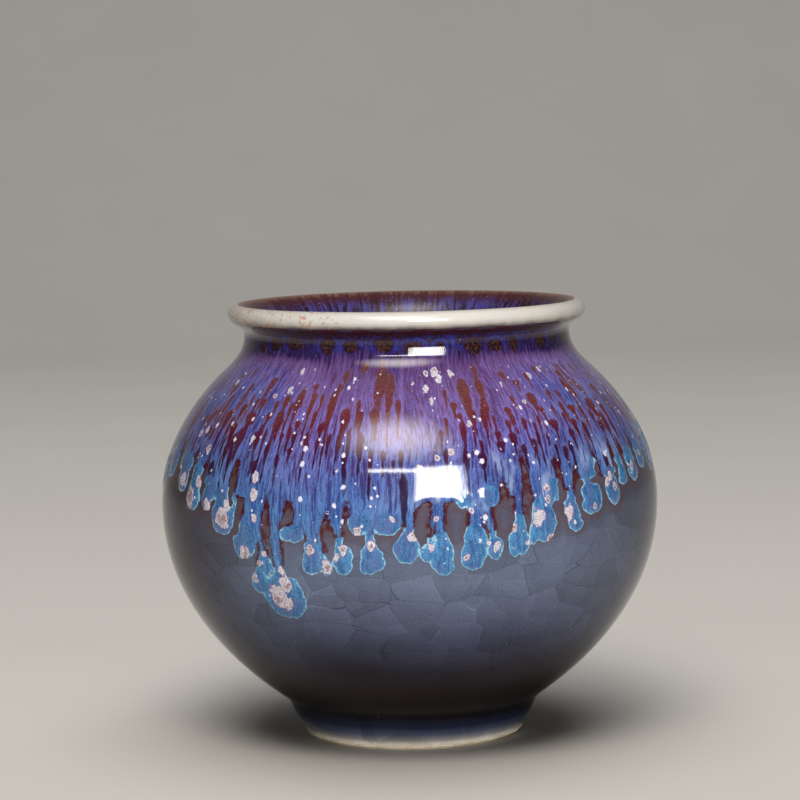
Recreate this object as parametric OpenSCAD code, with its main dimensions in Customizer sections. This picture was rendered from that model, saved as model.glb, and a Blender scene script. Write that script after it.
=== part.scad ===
// Stoneware vase: a round belly on a small foot ring, with a rolled lip.
// It is luted together from four thrown clay sections, then glazed in coats, and a thick
// flowing overglaze hangs down from the neck in a curtain of separate runs.
// The Z axis is the wheel's axis, and Z = 0 is the table. Azimuth 0 faces -Y and grows towards +X.

/* [Vessel] */
// Height from the table to the crest of the lip
height = 139.4; // [134:0.2:146]
// Diameter at the widest part of the belly
belly_diameter = 160; // [150:1:170]
// Height of the widest part of the belly
belly_height = 75; // [70:1:78]
// Thickness of the wall, glaze included
wall = 5.4; // [4.5:0.1:6.5]
// Height of the top of the floor inside
floor_top = 12.6; // [12:0.1:15]

/* [Neck and lip] */
// Diameter of the neck at its narrowest, on the base glaze
neck_diameter = 104.4; // [96:0.2:110]
// Diameter of the lip, outside
lip_diameter = 114.8; // [110:0.2:120]
// Radius of the rolled edge of the lip
lip_roll = 3.2; // [2.6:0.1:3.6]

/* [Foot] */
// Outer diameter of the foot where it meets the table
foot_diameter = 71; // [64:0.5:76]
// Width of the foot ring's clay at the table
foot_width = 5; // [4:0.1:6]
// Depth of the recess inside the foot ring
foot_depth = 7; // [6:0.1:7.5]

/* [Glaze] */
// Thickness of the grey base glaze and of the pale glaze on the lip
base_coat = 0.6; // [0.4:0.05:0.8]
// Thickness of the flowing overglaze
flow_coat = 0.7; // [0.4:0.05:0.9]
// Thickness of the glaze inside the vase and under its foot
liner_coat = 0.4; // [0.3:0.05:0.6]
// Height of the lower edge of the unbroken overglaze, above which no gap shows
curtain_edge = 83; // [80:1:92]
// Thickness of the clay slip that lutes two sections together
slip = 0.5; // [0.3:0.1:0.8]

/* [Hidden] */
$fn = 96;

// Radii and heights that follow from the driving dimensions
belly_r = belly_diameter / 2;
neck_r = neck_diameter / 2;
lip_r = lip_diameter / 2;
foot_r = foot_diameter / 2;
foot_inner_r = foot_r - 0.6 - foot_width;
glaze_line = 1.2;          // bare clay shows below this height
foot_chamfer = 0.8;
neck_z = height - 9.9;
roll_centre = [lip_r - lip_roll, height - lip_roll];
roll_start = -40;          // angle on the lip's roll where the neck's flare meets it
roll_end = 130;            // angle on the roll where the inside of the mouth begins
tongue_depth = 1.6;        // of the scored V joint between two clay sections
curtain_reach = 46;        // no run of overglaze comes lower than this

// Knots of the outer profile, as [r, z], on the base glaze
foot_knot = [foot_r + 3.3, foot_depth];
waist_knot = [foot_r + 6, foot_depth + 5];
belly_knot = [belly_r, belly_height];
collar_knot = [neck_r + 5.2, neck_z - 10];
neck_knot = [neck_r, neck_z];
throat_knot = neck_knot - [wall, 0];

// Directions of travel along the profile, in degrees from the radius
upright = 90;
foot_slope = 62;
waist_slope = 37;
collar_slope = 135;

// Runs of the overglaze on the front: [azimuth, height of the tip, width in degrees]
front_runs = [
    [-74, 85.5, 6.0], [-64, 83.3, 6.5], [-58, 78.3, 6.5], [-51, 79.2, 4.5],
    [-45.3, 72, 7.5], [-39, 65.3, 4.7], [-35.8, 55.3, 5.5], [-30, 47.7, 11],
    [-25.5, 71.5, 4.5], [-21.3, 62, 5.0], [-18.3, 62.3, 2.6], [-14.7, 62.6, 4.5],
    [-8.5, 62.3, 5.6], [-0.7, 66, 6.0], [6.3, 62.3, 5.3], [13.5, 63.5, 6.0],
    [18.5, 66, 3.4], [24, 66.6, 5.2], [30.5, 70.2, 6.5], [38.6, 72.3, 4.4],
    [44, 77, 7.0], [52, 78.5, 5.5], [57.3, 83.5, 3.6], [62.5, 84.2, 5.0], [69.5, 86.7, 5.0]
];
// The runs round the back are spaced evenly and vary in length and width by rule.
// They are shortest at the sides, as the front's are, and longest in the middle of the back.
back_first = 77;
back_last = 280;
back_count = 30;
back_runs = [
    for (i = [0 : back_count - 1]) [
        back_first + (back_last - back_first) * i / (back_count - 1) + 1.3 * sin(211 * i),
        77 + 8 * pow(2 * i / (back_count - 1) - 1, 2) + 4 * sin(137 * i) + 3 * sin(71 * i),
        5.2 + 1.2 * sin(97 * i)
    ]
];

function direction(a) = [cos(a), sin(a)];

// A smooth curve from p0 to p1 that leaves p0 at angle a0 and reaches p1 at angle a1.
// Each entry is [point, normal], and the normal points away from the clay.
function curve(p0, a0, k0, p1, a1, k1, n) =
    let (c0 = p0 + k0 * direction(a0), c1 = p1 - k1 * direction(a1))
    [for (i = [0 : n])
        let (
            t = i / n,
            u = 1 - t,
            p = u * u * u * p0 + 3 * u * u * t * c0 + 3 * u * t * t * c1 + t * t * t * p1,
            v = u * u * (c0 - p0) + 2 * u * t * (c1 - c0) + t * t * (p1 - c1)
        )
        [p, [v[1], -v[0]] / norm(v)]];

// The same for a circular arc about c, from angle a0 to a1
function arc(c, r, a0, a1, n) =
    [for (i = [0 : n]) let (d = direction(a0 + (a1 - a0) * i / n)) [c + r * d, d]];

// Points of a path, moved by d along its normals
function shifted(path, d) = [for (q = path) q[0] + d * q[1]];
function reversed(list) = [for (i = [len(list) - 1 : -1 : 0]) list[i]];

// The inner face of the wall along an outer path, in the opposite direction
function inner_face(path) = reversed([for (q = path) [q[0] - wall * q[1], -q[1]]]);

// Direction of travel at one entry of a path
function travel(q) = [-q[1][1], q[1][0]];
// An entry moved s along its own direction of travel
function slid(q, s) = [q[0] + s * travel(q), q[1]];

// The outer profile, one path for each clay section. Sections stop half a slip short of a joint.
half_slip = slip / 2;
belly_joint = [belly_knot, direction(0)];
collar_joint = [collar_knot, direction(collar_slope - 90)];
foot_joint = [foot_knot, direction(foot_slope - 90)];

foot_path = curve([foot_r, glaze_line], upright - 4, 2, slid(foot_joint, -half_slip)[0], foot_slope, 2, 4);
bowl_path = concat(
    curve(slid(foot_joint, half_slip)[0], foot_slope, 2, waist_knot, waist_slope, 2, 4),
    [for (q = curve(waist_knot, waist_slope, belly_r / 10.5, slid(belly_joint, -half_slip)[0],
        upright, belly_height / 2.03, 22)) if (q[0] != waist_knot) q]
);
shoulder_path = curve(slid(belly_joint, half_slip)[0], upright, belly_r / 3.15,
    slid(collar_joint, -half_slip)[0], collar_slope, 3, 16);
neck_path = curve(slid(collar_joint, half_slip)[0], collar_slope, 2.5, neck_knot, upright, 5, 7);
roll_foot = roll_centre + lip_roll * direction(roll_start);
flare_path = curve(neck_knot, upright, 2.4, roll_foot, roll_start + 90, 1.8, 6);
roll_path = arc(roll_centre, lip_roll, roll_start, 90, 12);
mouth_path = concat(
    arc(roll_centre, lip_roll, 90, roll_end, 4),
    curve(roll_centre + lip_roll * direction(roll_end), roll_end + 90, 3, throat_knot, upright + 180, 3.5, 6)
);
outer_path = concat(foot_path, bowl_path, shoulder_path, neck_path, flare_path);

// Inside, the floor is a shallow dish that rises into the wall above the foot
rising_path = [for (q = bowl_path) if (q[0][1] >= waist_knot[1]) q];
wall_foot = inner_face(rising_path)[len(rising_path) - 1][0];
floor_path = curve(wall_foot, waist_slope + 180, 6, [0, floor_top], 180, 22, 8);

// The V joint across the wall at an entry, from the outside in, moved s along the wall
function joint_line(q, s) =
    let (p = slid(q, s)[0] - base_coat * q[1], span = wall - base_coat - liner_coat)
    [for (f = [0, 0.25, 0.5, 0.75, 1])
        p - f * span * q[1] - (f == 0.5 ? tongue_depth : 0) * travel(q)];

// The plain joint between the foot ring and the bowl, moved s along the wall
function foot_joint_line(s, z) = [slid(foot_joint, s)[0] - base_coat * foot_joint[1], [foot_inner_r, z]];

// A coat between two distances from a path
module coat(path, from, to) {
    rotate_extrude() polygon(concat(shifted(path, to), reversed(shifted(path, from))));
}

module foot_ring() {
    color("#cfc4b0") rotate_extrude() polygon(concat(
        [[foot_inner_r + foot_chamfer, 0], [foot_r - foot_chamfer, 0], [foot_r - 0.1, foot_chamfer]],
        shifted(foot_path, -base_coat),
        [[foot_inner_r, foot_depth - slip], [foot_inner_r, foot_chamfer]]
    ));
}

module lower_bowl() {
    color("#cbbfab") rotate_extrude() polygon(concat(
        shifted(bowl_path, -base_coat),
        joint_line(belly_joint, -half_slip),
        shifted(inner_face(rising_path), -liner_coat),
        shifted(floor_path, -liner_coat),
        [[0, foot_depth], [foot_inner_r, foot_depth]]
    ));
}

module shoulder_section() {
    color("#cbbfab") rotate_extrude() polygon(concat(
        shifted(shoulder_path, -base_coat),
        joint_line(collar_joint, -half_slip),
        shifted(inner_face(shoulder_path), -liner_coat),
        reversed(joint_line(belly_joint, half_slip))
    ));
}

module collar_section() {
    color("#d6ccb9") rotate_extrude() polygon(concat(
        shifted(neck_path, -base_coat),
        shifted(flare_path, -base_coat),
        shifted(roll_path, -base_coat),
        shifted(mouth_path, -liner_coat),
        shifted(inner_face(neck_path), -liner_coat),
        reversed(joint_line(collar_joint, half_slip))
    ));
}

module foot_luting_slip() {
    color("#b9ab94") rotate_extrude() polygon(concat(
        foot_joint_line(-half_slip, foot_depth - slip),
        reversed(foot_joint_line(half_slip, foot_depth))
    ));
}

// Slip that fills the V joint at an entry of the outer profile
module luting_slip(q) {
    color("#b9ab94") rotate_extrude() polygon(concat(
        joint_line(q, -half_slip),
        reversed(joint_line(q, half_slip))
    ));
}

module base_glaze() {
    color("#4c5060") coat(outer_path, -base_coat, 0);
}

// A round-ended bar that points outwards at an azimuth, as wide as one run
module run_cutter(azimuth, tip, width) {
    r = belly_r * tan(width / 2);
    rotate([90, 0, azimuth])
        translate([0, tip, belly_r - 24])
            linear_extrude(40) {
                translate([0, r]) circle(r);
                translate([-r * 0.6, r]) square([r * 1.2, max(1, curtain_edge - tip - r + 4)]);
            }
}

module flow_glaze() {
    flow_path = [for (q = outer_path) if (q[0][1] > curtain_reach) q];
    color("#4a6fc0") intersection() {
        coat(flow_path, 0, flow_coat);
        union() {
            translate([0, 0, curtain_edge]) cylinder(r = belly_r + 10, h = height - curtain_edge);
            for (run = concat(front_runs, back_runs)) run_cutter(run[0], run[1], run[2]);
        }
    }
}

module lip_glaze() {
    color("#e6e2d2") coat(roll_path, -base_coat, 0);
}

module liner_glaze() {
    color("#3a2230") coat(concat(mouth_path, inner_face(neck_path), inner_face(shoulder_path),
        inner_face(rising_path), floor_path), -liner_coat, 0);
}

module foot_well_glaze() {
    color("#3c4656") translate([0, 0, foot_depth - liner_coat])
        cylinder(r = foot_inner_r, h = liner_coat);
}

foot_ring();
lower_bowl();
shoulder_section();
collar_section();
foot_luting_slip();
luting_slip(belly_joint);  // belly_luting_slip
luting_slip(collar_joint);  // collar_luting_slip
base_glaze();
flow_glaze();
lip_glaze();
liner_glaze();
foot_well_glaze();
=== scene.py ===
"""A glazed stoneware vase: fired clay from the CAD frame, with its glaze coats built over it.

The turned coats are smooth surfaces through the CAD outlines. The flowing overglaze is a closed
skin over the base glaze, cut to the shape of its curtain and runs by a distance field.
Lengths along the vase are in mm, azimuths in degrees: 0 faces -Y and they grow towards +X.
"""

import math

import bpy
import numpy as np
from mathutils import Matrix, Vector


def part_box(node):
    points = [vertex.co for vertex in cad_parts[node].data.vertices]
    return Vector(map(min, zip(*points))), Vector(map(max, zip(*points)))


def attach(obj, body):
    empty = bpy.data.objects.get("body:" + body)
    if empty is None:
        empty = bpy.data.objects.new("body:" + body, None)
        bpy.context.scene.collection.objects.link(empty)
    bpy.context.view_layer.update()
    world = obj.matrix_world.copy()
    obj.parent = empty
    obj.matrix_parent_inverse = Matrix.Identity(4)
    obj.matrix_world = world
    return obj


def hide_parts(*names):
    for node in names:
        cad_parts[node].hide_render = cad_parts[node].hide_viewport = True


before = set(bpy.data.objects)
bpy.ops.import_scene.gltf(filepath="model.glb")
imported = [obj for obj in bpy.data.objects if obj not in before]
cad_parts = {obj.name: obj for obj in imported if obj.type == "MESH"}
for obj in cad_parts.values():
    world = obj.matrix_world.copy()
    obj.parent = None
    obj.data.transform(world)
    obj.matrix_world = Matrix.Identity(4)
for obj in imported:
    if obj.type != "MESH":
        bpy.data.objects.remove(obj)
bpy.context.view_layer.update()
MM = 0.001


# ---------------------------------------------------------------- camera

CAMERA_DISTANCE = 0.9115   # from the vase's axis, in metres
CAMERA_HEIGHT = 0.1963     # above the table, in metres
CAMERA_LENS = 127.44       # on a 36 mm sensor
CAMERA_PITCH = -5.58       # degrees, below level
CAMERA_YAW = 0.16          # degrees, to the left
CAMERA_ROLL = -1.1         # degrees, clockwise


def add_camera():
    """The camera at the photograph's viewpoint, level with a point above the vase's lip."""
    data = bpy.data.cameras.new("camera")
    data.lens = CAMERA_LENS
    data.sensor_width = 36
    camera = bpy.data.objects.new("camera", data)
    bpy.context.scene.collection.objects.link(camera)
    camera.matrix_world = (
        Matrix.Translation((0, -CAMERA_DISTANCE, CAMERA_HEIGHT))
        @ Matrix.Rotation(math.radians(CAMERA_YAW), 4, "Z")
        @ Matrix.Rotation(math.radians(90 + CAMERA_PITCH), 4, "X")
        @ Matrix.Rotation(math.radians(CAMERA_ROLL), 4, "Z")
    )
    bpy.context.scene.camera = camera


# ---------------------------------------------------------------- outlines from the CAD frame

CORNER = math.radians(50)  # an outline turns sharper than this only where a side ends
FINE_COUNT = 4000          # places at which an outline's height is known
SEAM_GAP = 1e-4            # mm, nearer than this a point is on the half plane


def seam(node):
    """The outline of a turned CAD node where it crosses the +X half plane.

    It comes back as {(r, z): the points next to it}, in mm."""
    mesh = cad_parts[node].data
    points = {}
    for vertex in mesh.vertices:
        x, y, z = vertex.co / MM
        if abs(y) < SEAM_GAP and x > -SEAM_GAP:
            points[vertex.index] = (round(x, 4), round(z, 4))
    linked = {}
    for edge in mesh.edges:
        a, b = (points.get(i) for i in edge.vertices)
        if a and b and a != b:
            linked.setdefault(a, set()).add(b)
            linked.setdefault(b, set()).add(a)
    return linked


def walk(linked, start, onward):
    """The points of an outline from start, by way of onward, as far as the next sharp corner."""
    path = [start, onward]
    while True:
        ahead = linked[path[-1]] - {path[-2]}
        if not ahead:
            return path
        point = ahead.pop()
        before = math.atan2(path[-1][1] - path[-2][1], path[-1][0] - path[-2][0])
        after = math.atan2(point[1] - path[-1][1], point[0] - path[-1][0])
        turn = (after - before + math.pi) % (2 * math.pi) - math.pi
        if abs(turn) > CORNER or point == start:
            return path
        path.append(point)


class Outline:
    """A natural cubic spline through (r, z) points, measured by the distance s along it."""

    def __init__(self, points):
        self.knots = np.array(points, float)
        gaps = np.linalg.norm(np.diff(self.knots, axis=0), axis=1)
        self.s = np.concatenate(([0], np.cumsum(gaps)))
        self.length = self.s[-1]
        count = len(self.knots)
        matrix = np.eye(count)
        right = np.zeros((count, 2))
        slopes = np.diff(self.knots, axis=0) / gaps[:, None]
        for i in range(1, count - 1):
            matrix[i, i - 1 : i + 2] = gaps[i - 1], 2 * (gaps[i - 1] + gaps[i]), gaps[i]
            right[i] = 6 * (slopes[i] - slopes[i - 1])
        self.bend = np.linalg.solve(matrix, right)
        fine = np.linspace(0, self.length, FINE_COUNT)
        self.fine = fine, self.at(fine)[0][:, 1]

    def at(self, s):
        """Points and outward normals at distances s, each as an array of (r, z)."""
        s = np.atleast_1d(np.asarray(s, float))
        i = np.clip(np.searchsorted(self.s, s, side="right") - 1, 0, len(self.s) - 2)
        gap = (self.s[i + 1] - self.s[i])[:, None]
        after = (s - self.s[i])[:, None]
        before = gap - after
        low, high = self.bend[i], self.bend[i + 1]
        start, end = self.knots[i], self.knots[i + 1]
        point = (
            (low * before**3 + high * after**3) / (6 * gap)
            + (start / gap - low * gap / 6) * before
            + (end / gap - high * gap / 6) * after
        )
        along = (high * after**2 - low * before**2) / (2 * gap)
        along += (end - start) / gap - (high - low) * gap / 6
        along /= np.linalg.norm(along, axis=1)[:, None]
        return point, np.stack([along[:, 1], -along[:, 0]], axis=1)

    def s_at_height(self, z):
        """The distance along an outline that only rises, at a height."""
        return np.interp(z, self.fine[1], self.fine[0])


def coat_outline(node, from_top=False):
    """The visible side of a turned coat, from its lowest or highest corner to its other end."""
    linked = seam(node)
    choose = max if from_top else min
    start = choose(linked, key=lambda p: (p[1], p[0] if from_top else -p[0]))
    sides = [walk(linked, start, neighbour) for neighbour in linked[start]]
    return Outline(max(sides, key=len))


# ---------------------------------------------------------------- smooth random values

LONGEST = 400              # mm, more than the length of any outline


def ease(t):
    """A smooth rise from 0 to 1, level at both ends."""
    return t * t * (3 - 2 * t)


def smooth_step(low, high, value):
    """0 at low and 1 at high, smooth between. Low may be the greater."""
    return ease(np.clip((value - low) / (high - low), 0, 1))


def smooth_min(a, b, k):
    """The lesser of a and b, rounded over where they are within k of each other."""
    h = np.clip(0.5 + 0.5 * (b - a) / k, 0, 1)
    return b * (1 - h) + a * h - k * h * (1 - h)


def wobble(azimuth, s, width, length, seed):
    """Smooth random values from -1 to 1, in cells of about width by length mm on the belly.

    They close up without a seam round the vase."""
    columns = max(3, round(2 * math.pi * BELLY_R / width))
    rows = 4 + int(LONGEST / length)
    table = np.random.default_rng(seed).uniform(-1, 1, (columns, rows))
    x = (azimuth / 360) % 1 * columns
    y = s / length + 1
    i, j = np.floor(x).astype(int), np.clip(np.floor(y).astype(int), 0, rows - 2)
    across, up = ease(x - i), ease(np.clip(y - j, 0, 1))
    left, right = i % columns, (i + 1) % columns
    lower = table[left, j] * (1 - across) + table[right, j] * across
    upper = table[left, j + 1] * (1 - across) + table[right, j + 1] * across
    return lower * (1 - up) + upper * up


# ---------------------------------------------------------------- layout of the overglaze

# Runs on the front, each a bulb that hangs from a stem: the bulb's azimuth, the height of its
# tip, its width in degrees and length in mm, then the stem's azimuth and width at its top
FRONT_RUNS = (
    (-74, 85.5, 5.5, 9, -73, 4.0), (-64, 83.3, 6.0, 10, -63, 4.0), (-57.6, 78.3, 6.2, 12, -57, 4.4),
    (-51.6, 79.2, 4.2, 9, -51, 3.4), (-45.6, 72, 7.6, 12, -45, 6.4),
    (-39.3, 65.3, 6.0, 9.5, -36.4, 5.4), (-33.6, 61.2, 3.0, 5, -34, 3.2),
    (-36, 55.5, 5.2, 6.3, -33.2, 2.4), (-30, 47.7, 11, 12.3, -30.6, 3.2),
    (-27.8, 72.4, 3.0, 2.4, -24.5, 3.0), (-25.5, 71.9, 3.6, 3.4, -24.2, 4.0),
    (-21.9, 62, 4.2, 9, -21.8, 3.4), (-18.6, 62.3, 2.6, 5.6, -20, 2.0),
    (-14.8, 62.6, 4.6, 9.5, -15.5, 1.8), (-8.5, 62.3, 5.6, 10.2, -8.7, 2.2),
    (-0.8, 66, 5.6, 8.6, -0.2, 2.8), (6.8, 62.3, 5.0, 11, 6.2, 2.7), (3.5, 66.3, 2.6, 6.5, 5.2, 2.0),
    (13.6, 63.5, 5.8, 11, 14.5, 4.0), (18.5, 66, 3.5, 7.5, 17, 2.2), (24, 66.6, 5.1, 10.5, 24.2, 2.6),
    (27.8, 69.6, 2.3, 5, 26.4, 1.6), (30.3, 70.2, 6.2, 11, 30, 4.8), (37, 77, 4.2, 6, 38, 2.0),
    (38.8, 72.3, 4.2, 8, 38.2, 2.0), (44.3, 77, 7.0, 9.5, 43.4, 2.8), (52, 78.5, 5.2, 9.5, 51.6, 3.2),
    (56.8, 83.5, 4.4, 8, 56, 3.8), (62.8, 84.2, 5.0, 9, 62, 3.6), (69.5, 86.7, 5.0, 8, 69, 3.6),
    (11.4, 81.6, 3.0, 2.8, 12.6, 2.4), (17.8, 82.6, 3.4, 4.4, 18.3, 2.8),
    (33.6, 82.4, 3.6, 5.5, 32.4, 3.0), (-11.2, 74.6, 4.6, 3.6, -11, 5), (-5, 73.9, 5.2, 4.2, -5.6, 6.6),
    (46.8, 89, 2.6, 4, 46.6, 2.4),
)
# Slots that cut up into the curtain, where the base glaze shows: azimuth, foot, top, width
FRONT_SLOTS = (
    (-70, 88, 96, 1.6), (-60.4, 86, 94, 1.4), (-54.6, 84, 91, 1.3), (-43.4, 82, 93, 1.7),
    (-33, 71, 81, 1.3), (-27.2, 78, 83, 1.8), (-18.3, 70, 78, 1.5), (-13.8, 73, 80, 0.9),
    (3.2, 72, 79, 1.4), (9, 74, 79.5, 1.2), (20.9, 76, 87, 2.0), (26.6, 77, 92, 1.3),
    (35.4, 80, 91, 1.2), (40.4, 80, 89, 1.6), (47.8, 83, 92, 1.2), (55, 87, 94, 1.0),
    (59.4, 88, 95, 1.2), (66, 89, 96, 1.2),
)
# Pale crystals on the front: azimuth, height, radius in mm
FRONT_CRYSTALS = (
    (-63.5, 87, 1.9), (-58.6, 82.5, 2.2), (-56, 87.5, 1.4), (-51, 81, 1.5), (-45.8, 77.5, 2.6),
    (-44.5, 81.5, 1.5), (-36.8, 91, 1.4), (-36.5, 85.5, 1.2), (-36.3, 78.5, 0.9), (-39.3, 67.6, 1.9),
    (-33.8, 67.5, 0.8), (-35.5, 64.5, 0.8), (-37.3, 60, 1.1), (-31.2, 55, 3.0), (-29.2, 52.6, 1.5),
    (-28.8, 59, 2.0), (-29.6, 63, 1.0), (-22.2, 70, 1.1), (-18.5, 65, 1.5), (-16.4, 68, 0.9),
    (-14.6, 70.3, 1.1), (-11.5, 76, 1.1), (-8.5, 71.5, 1.3), (-4, 79.5, 0.8), (0.5, 74, 1.1),
    (4.3, 71, 0.8), (5.6, 79, 0.7), (13.5, 81.5, 0.9), (12, 67.5, 0.9), (16.8, 71, 0.7),
    (18.7, 70, 1.2), (22.8, 75.5, 1.0), (26.2, 71, 0.7), (28.8, 78, 1.9), (31.5, 86.5, 0.9),
    (31.5, 83, 0.8), (32, 71.5, 1.1), (36.8, 78, 1.9), (44.7, 79.3, 0.8), (50, 86, 1.0),
    (51.6, 87.5, 1.2), (52.8, 84, 1.1), (62, 89, 1.2), (69, 92, 1.0), (2.4, 94.5, 0.9), (6.4, 97, 0.8),
    (9.8, 98.5, 0.9), (6.3, 112.6, 0.9), (15.5, 106, 0.9), (5.6, 120.5, 1.0), (8.2, 120.8, 1.3),
    (9.2, 118.4, 1.2), (13.2, 120.4, 1.1), (5.2, 116.3, 1.1), (28, 116.4, 0.6), (32.7, 111.3, 0.7),
    (39.5, 118.2, 0.9), (45, 119.7, 0.7), (1.8, 117.8, 0.5), (-35.5, 115.8, 1.0), (-40, 114, 0.9),
    (-34.8, 121, 0.9), (-61.5, 116.5, 0.8), (-26.5, 101, 0.6), (-41, 101.5, 0.7), (-60, 103, 1.0),
    (-55.5, 97.3, 1.3), (-63, 101, 1.0),
)
# Iron-red streaks in the front of the curtain, rounded above and narrower below: azimuth,
# top, foot, width in degrees
FRONT_STREAKS = (
    (-64.3, 107, 102.5, 1.5), (-61, 108.5, 104.5, 1.6), (-57.5, 113.5, 107, 1.6),
    (-53.5, 109, 103.5, 2.4), (-54, 103.5, 97, 1.3), (-51.8, 117, 112.5, 1.6), (-52.2, 94.5, 86, 2.0),
    (-49.2, 111, 107.5, 1.9), (-49, 105.5, 100, 2.2), (-48.4, 100.5, 95, 2.0), (-46.4, 98, 92, 1.7),
    (-45.2, 105, 98.5, 2.8), (-47, 102.5, 98, 2.0), (-43.8, 119, 114, 2.4), (-45.2, 113, 109.5, 1.2),
    (-38.6, 109.5, 106.5, 1.5), (-32.6, 112.5, 108, 1.3), (-30.2, 105.5, 101, 1.0),
    (-31.8, 98, 92.5, 1.0), (-34, 108, 104, 1.0), (-40.6, 104, 99, 1.0), (-24.6, 110, 105, 1.2),
    (-44.5, 109, 104, 3.2), (-42.5, 113, 110, 1.5), (-39.2, 106, 97.5, 1.6), (-37.6, 112.5, 110, 1.3),
    (-37.3, 105, 97, 1.0), (-34.9, 114.3, 110, 1.8), (-35.1, 110, 103.5, 2.3), (-35.3, 101.5, 94, 1.3),
    (-38, 95.5, 91.5, 1.7), (-30.8, 116, 109, 2.4), (-32.2, 103.8, 101.3, 1.2),
    (-28.7, 107.4, 105, 1.7), (-27.3, 117.6, 115.5, 1.6), (-26.7, 115.5, 107, 1.5),
    (-28.7, 104, 100.5, 1.3), (-28.9, 99.7, 97, 1.2), (-25.2, 104.5, 97, 1.1), (-24, 115, 112, 1.1),
    (-22, 107, 103, 1.6), (-22.2, 103, 98, 1.2), (-20.6, 116.3, 104, 2.1), (-19, 121.8, 118, 1.8),
    (-19.9, 118, 115, 1.2), (-19.4, 104, 99, 1.1), (-16.2, 111.2, 104, 2.7), (-17, 104, 97, 1.0),
    (-13.6, 124, 121, 2.4), (-14.4, 106, 96, 1.1), (-15, 98, 94, 1.0), (-13.2, 113.6, 109.5, 1.3),
    (-12.2, 110.5, 104.5, 1.6), (-11.5, 104, 96.5, 1.9), (-8, 124, 110, 3.2), (-5.2, 121, 109, 2.6),
    (-8.8, 110.8, 106, 2.0), (-8.9, 100, 91, 0.9), (-6, 99.5, 95, 1.3), (-3.6, 96.8, 94, 1.1),
    (-2.6, 113.5, 108, 1.3), (-1.8, 99.5, 95, 1.4), (-1.3, 93, 78, 1.9), (10.2, 116, 113.3, 1.3),
    (12, 112.4, 110, 1.8), (13.2, 109.5, 107, 1.4), (15.9, 119, 108, 3.2), (16.8, 110, 106, 1.5),
    (9.4, 108.3, 105, 1.2), (7.8, 104.8, 101, 1.4), (8.5, 99.5, 94, 1.0), (13.4, 107, 100, 1.7),
    (13.1, 100, 91, 1.3), (21.2, 122.6, 118.5, 1.6), (20.8, 118.5, 112, 2.2), (20.6, 112.3, 108, 2.1),
    (19.3, 110, 104, 1.8), (17.2, 101.5, 98.5, 1.2), (17, 98, 93, 1.9), (22, 108.2, 105.8, 1.0),
    (22, 104, 101, 1.5), (22.1, 101, 97.5, 2.3), (26.6, 110.2, 108, 1.9), (27.2, 108, 105, 1.0),
    (25.5, 106.8, 103, 1.3), (25.6, 103, 99.3, 2.0), (27.8, 99.5, 95, 1.2), (26.8, 92.5, 88, 1.6),
    (29.8, 120.2, 117.5, 1.9), (33.2, 117.6, 115.5, 2.0), (30, 107, 103.5, 1.5),
    (32.7, 105.6, 103, 1.2), (35.4, 113.8, 108.5, 2.7), (37, 109.4, 107, 1.7), (30.8, 101, 96.5, 1.8),
    (35.3, 102, 100, 1.3), (36.7, 99, 95, 1.0), (38.6, 105.8, 102.5, 3.0), (42.2, 114, 112, 1.9),
    (40.7, 109.5, 107, 1.4), (43.2, 107.5, 104, 1.2), (43.2, 102.8, 98.5, 1.8), (39.2, 98, 94, 1.6),
    (41.3, 99.5, 94, 1.4), (35.2, 95, 91, 2.2), (29.2, 113.2, 111.4, 1.2), (32.5, 103, 97, 1.0),
    (34.5, 107, 104.5, 1.2), (38, 119, 116.5, 1.5), (43, 121, 118.5, 1.4), (45.8, 113.8, 111, 1.6),
    (44.2, 110.5, 107, 1.4), (47.6, 109.5, 106.5, 2.4), (45.6, 105.5, 101, 1.7), (48.8, 104, 98, 1.6),
    (52.8, 119, 117, 2.0), (51, 116.5, 111.5, 1.7), (52.7, 115, 111, 1.3), (51, 109, 105, 1.2),
    (56.4, 110.5, 105, 3.0), (54, 107, 103.5, 1.6), (58.2, 106, 98.5, 2.2), (55.5, 104, 100, 1.4),
    (61.2, 108.5, 104.5, 2.0), (56.6, 116, 114, 1.2), (61, 104, 99, 1.5), (51.8, 94, 88.5, 1.5),
    (64.5, 114, 110, 2.4),
)
# Lower edge of the curtain between its runs: azimuth, height
CURTAIN_EDGE = (
    (-180, 85), (-80, 89), (-66, 90), (-56, 88), (-50.5, 86), (-49, 83.5), (-42.4, 83.5), (-41.6, 85),
    (-39, 84.5), (-38.4, 75), (-34, 75), (-33, 79), (-32, 78), (-29, 78), (-28, 82.5), (-26.2, 82.5),
    (-25.6, 75), (-20.5, 74.6), (-19.8, 77), (-16.7, 77), (-16.2, 75), (-14.6, 76), (-13.3, 75.6),
    (-9, 75.4), (-5, 75), (-2.6, 75.6), (-1.4, 78), (2.6, 82.5), (4.5, 82.5), (7.8, 84.3), (12, 84.3),
    (16.6, 80), (19.8, 84), (22.6, 85), (25.6, 86), (27.4, 86), (32.4, 82), (34, 84), (36.4, 85),
    (40, 86.5), (47, 89), (52, 88), (60, 91), (72, 92), (85, 89), (180, 85),
)
BACK_RUNS = 30
BACK_FIRST = 77
BACK_LAST = 280
BACK_WAVES = (211, 137, 71, 97)  # degrees from run to run of the waves that vary them
BACK_SPECKS = 60
CURTAIN_FOOT = 46          # no run comes lower than this
RUN_FILLET = 1.0           # mm, where a stem joins the curtain
NECK_FILLET = 0.8          # mm, where a bulb joins its stem
SLOT_FILLET = 0.5          # mm, where a slot opens into the curtain's edge
STEM_REACH = 6             # mm that a stem goes up into the curtain
EDGE_TEAR = 0.35           # mm by which the curtain's edge is torn
BULB_TEAR = 0.72           # mm more on a bulb
CURTAIN_THICKNESS = 0.21   # mm
BULB_EXTRA = 0.17          # mm more on a bulb
LANE_RELIEF = 0.018        # mm, of the low lanes that run down the curtain
CRYSTAL_TEAR = 0.8         # mm
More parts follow.
